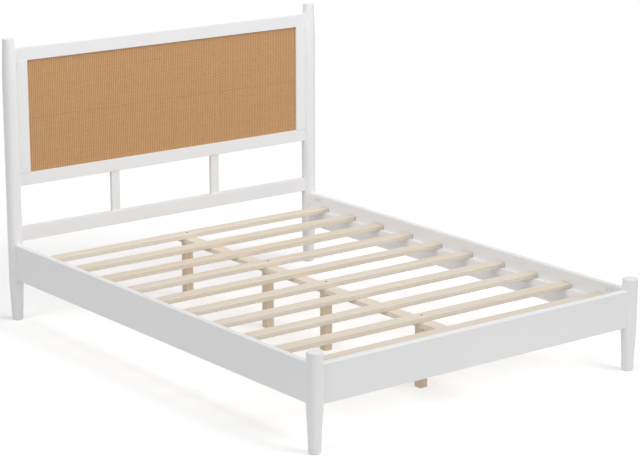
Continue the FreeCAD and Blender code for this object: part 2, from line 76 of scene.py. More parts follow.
def linear(hex_colour: str) -> Tuple[float, float, float, float]:
    """Turns an sRGB hex colour into the linear colour that shaders take.

    Args:
        hex_colour: colour such as "#E8DBCB".

    Returns:
        Red, green and blue in linear light, and an alpha of 1.
    """
    parts = [int(hex_colour[start:start + 2], 16) / 255 for start in (1, 3, 5)]
    light = [part / 12.92 if part <= 0.04045 else ((part + 0.055) / 1.055) ** 2.4 for part in parts]
    return light[0], light[1], light[2], 1.0


def per_metre(size_mm: float) -> float:
    """Pattern scale whose features lie size_mm apart."""
    return 1.0 / (size_mm * MM)


def add_node(tree: bpy.types.NodeTree, kind: str,
             feeds: Optional[Dict[Union[str, int], Feed]] = None, **settings: object) -> bpy.types.Node:
    """Adds one node with its settings and links.

    Args:
        tree: node tree that takes the node.
        kind: type of the node.
        feeds: for each input, by name or number, the value it holds or the socket that feeds it.
        settings: properties of the node itself.

    Returns:
        The new node.
    """
    node = tree.nodes.new(kind)
    for name, value in settings.items():
        setattr(node, name, value)
    for name, feed in (feeds or {}).items():
        if isinstance(feed, bpy.types.NodeSocket):
            tree.links.new(feed, node.inputs[name])
        else:
            node.inputs[name].default_value = feed
    return node


class Grain(Enum):
    """Way that a board's fibres run."""

    ALONG_X = (1.0, 0.0, 0.0)
    ALONG_Y = (0.0, 1.0, 0.0)
    ALONG_Z = (0.0, 0.0, 1.0)

    def drawn_out(self, ratio: float) -> Triple:
        """Pattern scale that draws features out along the fibres by the ratio."""
        return tuple(1.0 / ratio if part else 1.0 for part in self.value)


@dataclass(frozen=True)
class Finish:
    """What every finish shares: a name and one main shader."""

    name: str

    def build(self) -> bpy.types.Material:
        """Makes the material.

        Returns:
            A material whose main shader holds the finish.
        """
        material = bpy.data.materials.new(self.name)
        material.use_nodes = True
        tree = material.node_tree
        tree.nodes.clear()
        shader = add_node(tree, "ShaderNodeBsdfPrincipled")
        add_node(tree, "ShaderNodeOutputMaterial", {"Surface": shader.outputs["BSDF"]})
        self.paint(tree, shader)
        return material

    def paint(self, tree: bpy.types.NodeTree, shader: bpy.types.Node) -> None:
        """Sets the shader's colour, gloss and relief; each finish does it in its own way."""
        raise NotImplementedError


@dataclass(frozen=True)
class SatinLacquer(Finish):
    """Catalysed satin lacquer, sprayed white over sanded wood.

    Spraying leaves a fine orange peel, and the filled grain under it still shows as faint ridges,
    so the eye gets one even white whose soft sheen breaks up a little along the fibres.
    """

    grain: Grain = Grain.ALONG_X
    bright: str = "#F0F0F1"
    dull: str = "#ECECED"
    roughness: float = 0.40
    roughness_drift: float = 0.06
    drift_mm: float = 320.0
    ridge_mm: float = 1.8
    ridge_stretch: float = 30.0
    peel_mm: float = 2.6
    ridge_height_mm: float = 0.010
    peel_height_mm: float = 0.006
    ior: float = 1.5

    def paint(self, tree: bpy.types.NodeTree, shader: bpy.types.Node) -> None:
        """Paints slow drift of tone and sheen, grain ridges and orange peel.

        Args:
            tree: node tree of the material.
            shader: its main shader.
        """
        place = add_node(tree, "ShaderNodeTexCoord").outputs["Object"]
        drawn = add_node(tree, "ShaderNodeMapping",
                         {"Vector": place, "Scale": self.grain.drawn_out(self.ridge_stretch)})
        drift = add_node(tree, "ShaderNodeTexNoise",
                         {"Vector": place, "Scale": per_metre(self.drift_mm), "Detail": RICH})
        tone = add_node(tree, "ShaderNodeMix",
                        {MIX_FACTOR: drift.outputs["Fac"], MIX_FIRST: linear(self.dull),
                         MIX_SECOND: linear(self.bright)}, data_type="RGBA")
        ridges = add_node(tree, "ShaderNodeTexNoise",
                          {"Vector": drawn.outputs["Vector"], "Scale": per_metre(self.ridge_mm),
                           "Detail": LIVELY})
        peel = add_node(tree, "ShaderNodeTexNoise",
                        {"Vector": place, "Scale": per_metre(self.peel_mm), "Detail": SMOOTH})
        sheen = add_node(tree, "ShaderNodeMapRange",
                         {"Value": drift.outputs["Fac"],
                          "To Min": self.roughness - self.roughness_drift,
                          "To Max": self.roughness + self.roughness_drift})
        ridge_relief = add_node(tree, "ShaderNodeBump",
                                {"Height": ridges.outputs["Fac"],
                                 "Distance": self.ridge_height_mm * MM})
        peel_relief = add_node(tree, "ShaderNodeBump",
                               {"Height": peel.outputs["Fac"], "Distance": self.peel_height_mm * MM,
                                "Normal": ridge_relief.outputs["Normal"]})
        tree.links.new(tone.outputs[MIX_RESULT], shader.inputs["Base Color"])
        tree.links.new(sheen.outputs["Result"], shader.inputs["Roughness"])
        tree.links.new(peel_relief.outputs["Normal"], shader.inputs["Normal"])
        shader.inputs["IOR"].default_value = self.ior


@dataclass(frozen=True)
class PlanedWood(Finish):
    """Poplar, birch or beech, planed and left bare.

    The planer leaves a dry, silky face. The eye gets pale wood with soft growth bands, fine fibres
    along the board, darker end grain where the fibres are cut across, and boards of unlike tone.
    board_mm is how far apart the boards lie, so that each gets a tone of its own. The fibres are
    about twice as coarse as real ones, which would be too fine to show.
    """

    grain: Grain = Grain.ALONG_X
    pale: str = "#E6DED3"
    warm: str = "#DCCCB5"
    fibre: str = "#C6AD8D"
    band_mm: float = 9.0
    band_stretch: float = 45.0
    band_wander: float = 0.6
    band_limits: Pair = (0.35, 0.65)
    band_share: float = 0.55
    fibre_mm: float = 0.9
    fibre_stretch: float = 60.0
    fibre_limits: Pair = (0.45, 0.75)
    fibre_share: float = 0.22
    board_mm: float = 199.4
    board_axis: Grain = Grain.ALONG_Y
    board_share: float = 0.35
    end_limits: Pair = (0.6, 0.9)
    end_share: float = 0.12
    roughness: float = 0.62
    relief_mm: float = 0.02
    ior: float = 1.5

    def paint(self, tree: bpy.types.NodeTree, shader: bpy.types.Node) -> None:
        """Paints growth bands, fibres, tone of each board and end grain.

        Args:
            tree: node tree of the material.
            shader: its main shader.
        """
        source = add_node(tree, "ShaderNodeTexCoord")
        place = source.outputs["Object"]
        along_bands = add_node(tree, "ShaderNodeMapping",
                               {"Vector": place, "Scale": self.grain.drawn_out(self.band_stretch)})
        along_fibres = add_node(tree, "ShaderNodeMapping",
                                {"Vector": place, "Scale": self.grain.drawn_out(self.fibre_stretch)})
        bands = add_node(tree, "ShaderNodeTexNoise",
                         {"Vector": along_bands.outputs["Vector"], "Scale": per_metre(self.band_mm),
                          "Detail": RICH, "Distortion": self.band_wander})
        fibres = add_node(tree, "ShaderNodeTexNoise",
                          {"Vector": along_fibres.outputs["Vector"], "Scale": per_metre(self.fibre_mm),
                           "Detail": LIVELY})
        boards_apart = tuple(part * per_metre(self.board_mm) for part in self.board_axis.value)
        board_place = add_node(tree, "ShaderNodeVectorMath", {0: place, 1: boards_apart},
                               operation="DOT_PRODUCT")
        board_number = add_node(tree, "ShaderNodeMath", {0: board_place.outputs["Value"]},
                                operation="ROUND")
        board_tone = add_node(tree, "ShaderNodeTexWhiteNoise", {"W": board_number.outputs["Value"]},
                              noise_dimensions="1D")
        band_tone = add_node(tree, "ShaderNodeMapRange",
                             {"Value": bands.outputs["Fac"], "From Min": self.band_limits[0],
                              "From Max": self.band_limits[1], "To Max": self.band_share})
        warmth = add_node(tree, "ShaderNodeMath",
                          {0: board_tone.outputs["Value"], 1: self.board_share,
                           2: band_tone.outputs["Result"]},
                          operation="MULTIPLY_ADD", use_clamp=True)
        ground = add_node(tree, "ShaderNodeMix",
                          {MIX_FACTOR: warmth.outputs["Value"], MIX_FIRST: linear(self.pale),
                           MIX_SECOND: linear(self.warm)}, data_type="RGBA")
        streak = add_node(tree, "ShaderNodeMapRange",
                          {"Value": fibres.outputs["Fac"], "From Min": self.fibre_limits[0],
                           "From Max": self.fibre_limits[1], "To Max": self.fibre_share})
        fibred = add_node(tree, "ShaderNodeMix",
                          {MIX_FACTOR: streak.outputs["Result"],
                           MIX_FIRST: ground.outputs[MIX_RESULT],
                           MIX_SECOND: linear(self.fibre)}, data_type="RGBA")
        facing = add_node(tree, "ShaderNodeVectorMath",
                          {0: source.outputs["Normal"], 1: self.grain.value}, operation="DOT_PRODUCT")
        turned_away = add_node(tree, "ShaderNodeMath", {0: facing.outputs["Value"]},
                               operation="ABSOLUTE")
        end_grain = add_node(tree, "ShaderNodeMapRange",
                             {"Value": turned_away.outputs["Value"], "From Min": self.end_limits[0],
                              "From Max": self.end_limits[1], "To Max": self.end_share})
        tone = add_node(tree, "ShaderNodeMix",
                        {MIX_FACTOR: end_grain.outputs["Result"],
                         MIX_FIRST: fibred.outputs[MIX_RESULT],
                         MIX_SECOND: linear(self.fibre)}, data_type="RGBA")
        relief = add_node(tree, "ShaderNodeBump",
                          {"Height": fibres.outputs["Fac"], "Distance": self.relief_mm * MM})
        tree.links.new(tone.outputs[MIX_RESULT], shader.inputs["Base Color"])
        tree.links.new(relief.outputs["Normal"], shader.inputs["Normal"])
        shader.inputs["Roughness"].default_value = self.roughness
        shader.inputs["IOR"].default_value = self.ior


@dataclass(frozen=True)
class RattanPeel(Finish):
    """Split rattan peel, woven dry and left unvarnished.

    The peel is cut in long strips, so each strip has its own tan, with fine fibre streaks along it
    and a slow drift from yellow to pink brown. Painted shade darkens a strip towards brown along its
    long edges and where it dips between crossings. Tan, streaks and painted shade follow the strip's
    own length and width.
    """

    light: str = "#DBB183"
    deep: str = "#C99C6D"
    pink: str = "#D8A583"
    # Colour that the painted shade mixes in, in dips and along strip edges
    shade_brown: str = "#946011"
    strip_share: float = 0.2
    strip_shift: float = 100.0
    streak_mm: float = 28.0
    streaks_across: float = 5.0
    streak_limits: Pair = (0.5, 0.8)
    streak_share: float = 0.4
    drift_mm: float = 55.0
    drift_limits: Pair = (0.3, 0.7)
    blush_mm: float = 18.0
    blush_stretch: float = 3.0
    blush_limits: Pair = (0.45, 0.75)
    blush_share: float = 0.6
    crossing_mm: float = 9.2
    # The dip and edge settings place the painted shade and set how strong it is
    dip_start: float = -0.2
    dip_shade_share: float = 0.20
    edge_start: float = 0.5
    edge_shade_share: float = 0.20
    roughness: float = 0.58
    relief_mm: float = 0.03
    ior: float = 1.5

    def paint(self, tree: bpy.types.NodeTree, shader: bpy.types.Node) -> None:
        """Paints tone of each strip, drift along it, fibre streaks, and painted shade in dips and along
        edges.

        Args:
            tree: node tree of the material.
            shader: its main shader.
        """
        source = add_node(tree, "ShaderNodeTexCoord")
        parts = add_node(tree, "ShaderNodeSeparateXYZ", {"Vector": source.outputs["UV"]})
        strip = add_node(tree, "ShaderNodeMath", {0: parts.outputs["Y"]}, operation="FLOOR")
        strip_tone = add_node(tree, "ShaderNodeTexWhiteNoise", {"W": strip.outputs["Value"]},
                              noise_dimensions="1D")
        strip_shift = add_node(tree, "ShaderNodeMath",
                               {0: strip_tone.outputs["Value"], 1: self.strip_shift},
                               operation="MULTIPLY")
        along = add_node(tree, "ShaderNodeCombineXYZ",
                         {"X": parts.outputs["X"], "Y": strip_shift.outputs["Value"]})
        drift = add_node(tree, "ShaderNodeTexNoise",
                         {"Vector": along.outputs["Vector"], "Scale": per_metre(self.drift_mm),
                          "Detail": LIVELY})
        drawn = add_node(tree, "ShaderNodeMapping",
                         {"Vector": source.outputs["Object"],
                          "Scale": Grain.ALONG_Z.drawn_out(self.blush_stretch)})
        blush = add_node(tree, "ShaderNodeTexNoise",
                         {"Vector": drawn.outputs["Vector"], "Scale": per_metre(self.blush_mm),
                          "Detail": LIVELY})
        stretched = add_node(tree, "ShaderNodeMapping",
                             {"Vector": source.outputs["UV"],
                              "Scale": (per_metre(self.streak_mm), self.streaks_across, 1.0)})
        streaks = add_node(tree, "ShaderNodeTexNoise",
                           {"Vector": stretched.outputs["Vector"], "Scale": 1.0, "Detail": RICH})
        mixed = add_node(tree, "ShaderNodeMath",
                         {0: strip_tone.outputs["Value"], 1: self.strip_share, 2: drift.outputs["Fac"]},
                         operation="MULTIPLY_ADD")
        share = add_node(tree, "ShaderNodeMapRange",
                         {"Value": mixed.outputs["Value"], "From Min": self.drift_limits[0],
                          "From Max": self.drift_limits[1] + self.strip_share})
        ground = add_node(tree, "ShaderNodeMix",
                          {MIX_FACTOR: share.outputs["Result"], MIX_FIRST: linear(self.deep),
                           MIX_SECOND: linear(self.light)}, data_type="RGBA")
        pinkness = add_node(tree, "ShaderNodeMapRange",
                            {"Value": blush.outputs["Fac"], "From Min": self.blush_limits[0],
                             "From Max": self.blush_limits[1], "To Max": self.blush_share})
        tinted = add_node(tree, "ShaderNodeMix",
                          {MIX_FACTOR: pinkness.outputs["Result"],
                           MIX_FIRST: ground.outputs[MIX_RESULT],
                           MIX_SECOND: linear(self.pink)}, data_type="RGBA")
        darkness = add_node(tree, "ShaderNodeMapRange",
                            {"Value": streaks.outputs["Fac"], "From Min": self.streak_limits[0],
                             "From Max": self.streak_limits[1], "To Max": self.streak_share})
        streaked = add_node(tree, "ShaderNodeMix",
                            {MIX_FACTOR: darkness.outputs["Result"],
                             MIX_FIRST: tinted.outputs[MIX_RESULT],
                             MIX_SECOND: linear(self.deep)}, data_type="RGBA")
        # Painted shade: the tone turns brown in dips and along the strip's edges
        tone = add_node(tree, "ShaderNodeMix",
                        {MIX_FACTOR: self._painted_shade_mask(tree, parts),
                         MIX_FIRST: streaked.outputs[MIX_RESULT],
                         MIX_SECOND: linear(self.shade_brown)}, data_type="RGBA")
        relief = add_node(tree, "ShaderNodeBump",
                          {"Height": streaks.outputs["Fac"], "Distance": self.relief_mm * MM})
        tree.links.new(tone.outputs[MIX_RESULT], shader.inputs["Base Color"])
        tree.links.new(relief.outputs["Normal"], shader.inputs["Normal"])
        shader.inputs["Roughness"].default_value = self.roughness
        shader.inputs["IOR"].default_value = self.ior

    def _painted_shade_mask(self, tree: bpy.types.NodeTree, parts: bpy.types.Node) -> bpy.types.NodeSocket:
        """Works out how much painted shade a place gets: most where the strip dips and along its long
        edges.

        Args:
            tree: node tree of the material.
            parts: node that gives length and width apart.

        Returns:
            Socket with the share of the painted shade.
        """
        # Painted shade: darkest midway between crossings and along the long edges
        turn = add_node(tree, "ShaderNodeMath",
                        {0: parts.outputs["X"], 1: 2 * math.pi * per_metre(self.crossing_mm)},
                        operation="MULTIPLY")
        wave = add_node(tree, "ShaderNodeMath", {0: turn.outputs["Value"]}, operation="COSINE")
        dips = add_node(tree, "ShaderNodeMapRange",
                        {"Value": wave.outputs["Value"], "From Min": self.dip_start,
                         "To Max": self.dip_shade_share}, interpolation_type="SMOOTHSTEP")
        width = add_node(tree, "ShaderNodeMath", {0: parts.outputs["Y"]}, operation="FRACT")
        off_middle = add_node(tree, "ShaderNodeMath", {0: width.outputs["Value"], 1: MAP_MIDDLE},
                              operation="SUBTRACT")
        outwards = add_node(tree, "ShaderNodeMath", {0: off_middle.outputs["Value"]},
                            operation="ABSOLUTE")
        edges = add_node(tree, "ShaderNodeMapRange",
                         {"Value": outwards.outputs["Value"], "From Min": self.edge_start * MAP_MIDDLE,
                          "From Max": MAP_MIDDLE, "To Max": self.edge_shade_share},
                         interpolation_type="SMOOTHSTEP")
        painted_shade_share = add_node(tree, "ShaderNodeMath",
                          {0: dips.outputs["Result"], 1: edges.outputs["Result"]}, operation="MAXIMUM")
        return painted_shade_share.outputs["Value"]


@dataclass(frozen=True)
class PlatedSteel(Finish):
    """Turned or pressed steel with a thin plated or blackened skin.

    The skin follows fine tool marks, so the eye gets a soft, slightly cloudy metal shine. The marks
    are coarser than real ones, which would be too fine to show.
    """

    bright: str = "#C9CBCC"
    cloudy: str = "#B4B3AC"
    metallic: float = 1.0
    roughness: float = 0.36
    roughness_drift: float = 0.10
    cloud_mm: float = 4.0
    mark_mm: float = 0.5
    mark_height_mm: float = 0.004

    def paint(self, tree: bpy.types.NodeTree, shader: bpy.types.Node) -> None:
        """Paints cloudy tone and sheen and fine tool marks.

        Args:
            tree: node tree of the material.
            shader: its main shader.
        """
        place = add_node(tree, "ShaderNodeTexCoord").outputs["Object"]
        clouds = add_node(tree, "ShaderNodeTexNoise",
                          {"Vector": place, "Scale": per_metre(self.cloud_mm), "Detail": RICH})
        marks = add_node(tree, "ShaderNodeTexNoise",
                         {"Vector": place, "Scale": per_metre(self.mark_mm), "Detail": SMOOTH})
        tone = add_node(tree, "ShaderNodeMix",
                        {MIX_FACTOR: clouds.outputs["Fac"], MIX_FIRST: linear(self.cloudy),
                         MIX_SECOND: linear(self.bright)}, data_type="RGBA")
        sheen = add_node(tree, "ShaderNodeMapRange",
                         {"Value": clouds.outputs["Fac"],
                          "To Min": self.roughness - self.roughness_drift,
                          "To Max": self.roughness + self.roughness_drift})
        relief = add_node(tree, "ShaderNodeBump",
                          {"Height": marks.outputs["Fac"], "Distance": self.mark_height_mm * MM})
        tree.links.new(tone.outputs[MIX_RESULT], shader.inputs["Base Color"])
        tree.links.new(sheen.outputs["Result"], shader.inputs["Roughness"])
        tree.links.new(relief.outputs["Normal"], shader.inputs["Normal"])
        shader.inputs["Metallic"].default_value = self.metallic


@dataclass(frozen=True)
class MouldedPlastic(Finish):
    """White ABS, injection moulded against a spark-eroded steel mould.

    The mould leaves a fine even texture, so the eye gets a soft white with a broad, low sheen. The
    texture is coarser than a real one, which would be too fine to show.
    """

    bright: str = "#EDEDEC"
    dull: str = "#E9E9E8"
    roughness: float = 0.5
    grit_mm: float = 0.8
    grit_height_mm: float = 0.012
    cloud_mm: float = 30.0
    ior: float = 1.53

    def paint(self, tree: bpy.types.NodeTree, shader: bpy.types.Node) -> None:
        """Paints a slight cloudiness and the mould's texture.

        Args:
            tree: node tree of the material.
            shader: its main shader.
        """
        place = add_node(tree, "ShaderNodeTexCoord").outputs["Object"]
        clouds = add_node(tree, "ShaderNodeTexNoise",
                          {"Vector": place, "Scale": per_metre(self.cloud_mm), "Detail": LIVELY})
        tone = add_node(tree, "ShaderNodeMix",
                        {MIX_FACTOR: clouds.outputs["Fac"], MIX_FIRST: linear(self.dull),
                         MIX_SECOND: linear(self.bright)}, data_type="RGBA")
        grit = add_node(tree, "ShaderNodeTexNoise",
                        {"Vector": place, "Scale": per_metre(self.grit_mm), "Detail": SMOOTH})
        relief = add_node(tree, "ShaderNodeBump",
                          {"Height": grit.outputs["Fac"], "Distance": self.grit_height_mm * MM})
        tree.links.new(tone.outputs[MIX_RESULT], shader.inputs["Base Color"])
        tree.links.new(relief.outputs["Normal"], shader.inputs["Normal"])
        shader.inputs["Roughness"].default_value = self.roughness
        shader.inputs["IOR"].default_value = self.ior


def seen_ray(tree: bpy.types.NodeTree) -> bpy.types.NodeSocket:
    """Tells rays that show a surface from rays that only light one.

    Args:
        tree: node tree of the floor or of the room.

    Returns:
        Socket that is 1 for camera, glossy and transmission rays, else 0.
    """
    path = add_node(tree, "ShaderNodeLightPath")
    direct = add_node(tree, "ShaderNodeMath",
                      {0: path.outputs["Is Camera Ray"], 1: path.outputs["Is Glossy Ray"]},
                      operation="MAXIMUM")
    every = add_node(tree, "ShaderNodeMath",
                     {0: direct.outputs["Value"], 1: path.outputs["Is Transmission Ray"]},
                     operation="MAXIMUM")
    return every.outputs["Value"]


@dataclass(frozen=True)
class StudioFloor(Finish):
    """Matt white floor paint, rolled on.

    It takes a soft shadow. For rays that are seen it also glows a little, more where the overhead
    lamp reaches less, so that it lies at white all round that shadow.
    """

    colour: str = "#EEEEEE"
    near_glow: float = 0.37
    far_glow: float = 0.62
    near: float = 0.5
    far: float = 6.0
    roughness: float = 0.9

    def paint(self, tree: bpy.types.NodeTree, shader: bpy.types.Node) -> None:
        """Paints the floor and adds the glow that only seen, mirrored and refracted rays meet.

        Args:
            tree: node tree of the material.
            shader: its main shader.
        """
        place = add_node(tree, "ShaderNodeTexCoord").outputs["Object"]
        distance = add_node(tree, "ShaderNodeVectorMath", {0: place}, operation="LENGTH")
        level = add_node(tree, "ShaderNodeMapRange",
                         {"Value": distance.outputs["Value"], "From Min": self.near,
                          "From Max": self.far, "To Min": self.near_glow, "To Max": self.far_glow})
        glow = add_node(tree, "ShaderNodeMath", {0: seen_ray(tree), 1: level.outputs["Result"]},
                        operation="MULTIPLY")
        tree.links.new(glow.outputs["Value"], shader.inputs["Emission Strength"])
        shader.inputs["Emission Color"].default_value = linear(WHITE)
        shader.inputs["Base Color"].default_value = linear(self.colour)
        shader.inputs["Roughness"].default_value = self.roughness
        shader.inputs["Specular IOR Level"].default_value = 0.0


def dress(names: Iterable[str], finish: Finish) -> None:
    """Gives nodes of the frame one finish.

    Args:
        names: nodes that keep their own shape.
        finish: what they are made of.
    """
    material = finish.build()
    for name in names:
        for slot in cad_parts[name].material_slots:
            slot.material = material
        log.info("%s: %s", name, finish.name)


@dataclass
class Tubes:
    """Many closed tubes of one kind, as one mesh.

    points has the shape (tubes, stations, section points, 3); lengths gives each station's distance
    along its tube, shape (tubes, stations). Section points run round the tube against the clock,
    seen with the tube's direction pointing away, so that the faces point outwards.
    """

    points: np.ndarray
    lengths: np.ndarray
    keen_edges: Tuple[int, ...] = ()

    def piece(self, name: str, finish: Finish) -> bpy.types.Object:
        """Makes the mesh, its map of lengths and widths, and its piece.

        Face (i, j) joins stations i and i + 1 and section points j and j + 1, and each end has one cap.

        Args:
            name: name of the piece.
            finish: what it is made of.

        Returns:
            The piece, at the origin, in the scene.
        """
        tubes, stations, section, _ = self.points.shape
        number = np.arange(tubes * stations * section).reshape(tubes, stations, section)
        after = np.roll(number, -1, axis=2)
        walls = np.stack([number[:, :-1], number[:, 1:], after[:, 1:], after[:, :-1]], axis=-1)
        caps = np.concatenate([number[:, 0], number[:, -1, ::-1]])
        corners = np.concatenate([walls.ravel(), caps.ravel()])
        starts = np.concatenate([np.arange(walls.size // 4) * 4,
                                 walls.size + np.arange(len(caps)) * section])
        mesh = bpy.data.meshes.new(name)
        mesh.vertices.add(number.size)
        mesh.vertices.foreach_set("co", self.points.astype(np.float32).ravel())
        mesh.loops.add(len(corners))
        mesh.loops.foreach_set("vertex_index", corners.astype(np.int32))
        mesh.polygons.add(len(starts))
        mesh.polygons.foreach_set("loop_start", starts.astype(np.int32))
        mesh.polygons.foreach_set("use_smooth", np.ones(len(starts), bool))
        mesh.update(calc_edges=True)
        self._map(mesh, corners, walls.size)
        self._keep_edges_keen(mesh, section)
        made = bpy.data.objects.new(name, mesh)
        made.data.materials.append(finish.build())
        bpy.context.scene.collection.objects.link(made)
        return made

    def _map(self, mesh: bpy.types.Mesh, corners: np.ndarray, wall_corners: int) -> None:
        """Writes the map: the length along the tube, and the tube's number plus the share round it.

        Args:
            mesh: mesh that takes the map.
            corners: vertex of each face corner.
            wall_corners: how many of the corners belong to walls, which come first.
        """
        _, stations, section, _ = self.points.shape
        tube = corners // (stations * section)
        share = (corners % section) / section
        closing = np.zeros(len(corners), bool)
        closing[:wall_corners] = np.tile([False, False, True, True], wall_corners // 4)
        share = np.where(closing & (share == 0), 1.0, share)
        width = tube + MAP_MARGIN + (1.0 - 2 * MAP_MARGIN) * share
        place = np.stack([self.lengths.ravel()[corners // section], width], axis=-1)
        layer = mesh.uv_layers.new(name="length_and_width")
        layer.uv.foreach_set("vector", place.astype(np.float32).ravel())

    def _keep_edges_keen(self, mesh: bpy.types.Mesh, section: int) -> None:
        """Marks the long edges at the keen section points, so that shading stays crisp there.

        Args:
            mesh: mesh whose edges are marked.
            section: count of section points.
        """
        ends = np.zeros(len(mesh.edges) * 2, np.int32)
        mesh.edges.foreach_get("vertices", ends)
        ends = ends.reshape(-1, 2) % section
        keen = (ends[:, 0] == ends[:, 1]) & np.isin(ends[:, 0], self.keen_edges)
        mark = mesh.attributes.new("sharp_edge", "BOOLEAN", "EDGE")
        mark.data.foreach_set("value", keen)


@dataclass(frozen=True)
class Course:
    """One set of alike strips side by side, spread evenly over a reach that begins at start."""

    start: float
    reach: float
    pitch: float
    width: float
    thickness: float
    swing: float

    @property
    def count(self) -> int:
        """How many strips fill the reach."""
        return round(self.reach / self.pitch)

    @property
    def step(self) -> float:
        """Spacing at which whole strips fill the reach."""
        return self.reach / self.count

    def middle(self, number: Union[int, np.ndarray]) -> Union[float, np.ndarray]:
        """Where the middle of a strip lies, across the strips."""
        return self.start + self.step * (number + 0.5)


@dataclass
class RattanWeave:
    """The headboard's woven sheet: a plain weave of crowned strips, broad upright, narrow across.

    It fills the sheet's place in the rabbet, and two widths of it meet under a thin cord. Each strip
    has a few stations per crossing, strays sideways by place_drift and widens by the share
    width_drift, once in the length that goes with each. Each course is made in groups, one piece each.
    """

    across_pitch: float = 7.0 * MM
    across_width: float = 6.5 * MM
    across_thickness: float = 0.8 * MM
    across_swing: float = 0.55 * MM
    upright_pitch: float = 9.2 * MM
    upright_width: float = 7.6 * MM
    upright_thickness: float = 1.1 * MM
    upright_swing: float = 0.40 * MM
    place_drift: float = 0.12 * MM
    place_drift_length: float = 0.31
    width_drift: float = 0.03
    width_drift_length: float = 0.17
    # Strength of the painted shade in the dips between uprights and between rows
    rib_painted_shade: float = 0.70
    row_painted_shade: float = 0.52
    stations: int = 4
    groups: int = 3
    seam_height: float = 0.864
    cord_width: float = 1.0 * MM
    cord_flatness: float = 0.5
    cord_ride: float = 0.1 * MM
    cord_drift: float = 0.15 * MM
    cord_drift_length: float = 0.23
    cord_sides: int = 8
    seed: int = 11

    def __post_init__(self) -> None:
        """Reads the sheet's place and sets out both courses."""
        self.low, self.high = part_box("rattan_panel")
        self.random = np.random.default_rng(self.seed)
        self.across = Course(self.low.z, self.high.z - self.low.z, self.across_pitch,
                             self.across_width, self.across_thickness, self.across_swing)
        self.upright = Course(self.low.x, self.high.x - self.low.x, self.upright_pitch,
                              self.upright_width, self.upright_thickness, self.upright_swing)
        self.core = self.high.y - self.upright_swing - self.upright_thickness / 2

    def strips(self, own: Course, other: Course, numbers: np.ndarray, upright: bool) -> Tubes:
        """Works out some strips of a course.

        A strip comes forward by its swing times the sine of a quarter turn times a cosine that swings
        once in two crossings. Each next strip, and the other course, swing the other way. The section
        is a flat back and a crowned front. Place and width drift by slow sines, each with a phase of
        its own.

        Args:
            own: course of the strips.
            other: course that they cross.
            numbers: which strips.
            upright: whether they stand upright.

        Returns:
            One tube for each strip.
        """
        length = np.linspace(0.0, other.reach, other.count * self.stations + 1)[None, :]
        number = numbers[:, None]
        phase = self.random.uniform(0.0, 2 * np.pi, (len(numbers), 2))
        place_turn = 2 * np.pi * length / self.place_drift_length + phase[:, :1]
        width_turn = 2 * np.pi * length / self.width_drift_length + phase[:, 1:]
        side = np.where((number + upright) % 2, -1.0, 1.0)
        forward = own.swing * np.sin(np.pi / 2 * side * np.cos(np.pi * (length / other.step - 0.5)))
        place = own.middle(number) + self.place_drift * np.sin(place_turn)
        half = own.width / 2 * (1.0 + self.width_drift * np.sin(width_turn))
        forward, place, half = np.broadcast_arrays(forward, place, half)
        towards = -1.0 if upright else 1.0
        section = [(place - towards * half, forward - own.thickness / 2),
                   (place, forward + own.thickness / 2),
                   (place + towards * half, forward - own.thickness / 2)]
        run = np.broadcast_to(other.start + length, place.shape)
        corners = [(off, self.core - depth, run) if upright else (run, self.core - depth, off)
                   for off, depth in section]
        points = np.stack([np.stack(corner, axis=-1) for corner in corners], axis=2)
        return Tubes(points, np.array(np.broadcast_to(length, place.shape)), keen_edges=(0, 2))

    def cord(self) -> Tubes:
        """Works out the thin cord that covers the seam where two widths of the weave meet.

        It runs the whole width along the front of the weave: its depth rises and falls by a cosine with
        the upright strips below it, its height wanders by a slow sine, and its section is a flat oval.

        Returns:
            One tube.
        """
        count = self.upright.count * self.stations + 1
        length = np.linspace(0.0, self.upright.reach, count)[None, :, None]
        turn = (np.arange(self.cord_sides) * 2 * np.pi / self.cord_sides)[None, None, :]
        radius = self.cord_width / 2
        front = self.core - self.across_swing - self.across_thickness / 2
        ride = self.cord_ride * np.cos(2 * np.pi * length / self.upright.step)
        drift = self.cord_drift * np.sin(2 * np.pi * length / self.cord_drift_length)
        x = self.low.x + length
        y = front + ride + self.cord_flatness * radius * np.cos(turn)
        z = self.seam_height + drift - radius * np.sin(turn)
        points = np.stack(np.broadcast_arrays(x, y, z), axis=-1)
        return Tubes(points, np.array(length[:, :, 0]))

    def build(self) -> None:
        """Makes the pieces of the sheet, which stand in for the plain one."""
        # The cord gets no painted shade
        thread = RattanPeel("waxed_seam_cord", light="#C68C52", deep="#B07841", pink="#BB824F",
                            dip_shade_share=0.0, edge_shade_share=0.0)
        made: List[Tuple[str, Tubes, Finish]] = [("rattan_seam_cord", self.cord(), thread)]
        for label, own, other, upright in (("across", self.across, self.upright, False),
                                           ("upright", self.upright, self.across, True)):
            # Each course's finish gets the painted shade strengths for its dips and edges
            peel = RattanPeel(f"split_rattan_peel_{label}", crossing_mm=other.step / MM,
                              dip_shade_share=self.row_painted_shade if upright else self.rib_painted_shade,
                              edge_shade_share=self.rib_painted_shade if upright else self.row_painted_shade)
            for group, numbers in enumerate(np.array_split(np.arange(own.count), self.groups), 1):
                strips = self.strips(own, other, numbers, upright)
                made.append((f"rattan_{label}_{group}", strips, peel))
        for name, tubes, finish in made:
            piece = tubes.piece(name, finish)
            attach(piece, BODY)
            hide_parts("rattan_panel")
            log.info("%s: %d faces, %s", name, len(piece.data.polygons), finish.name)


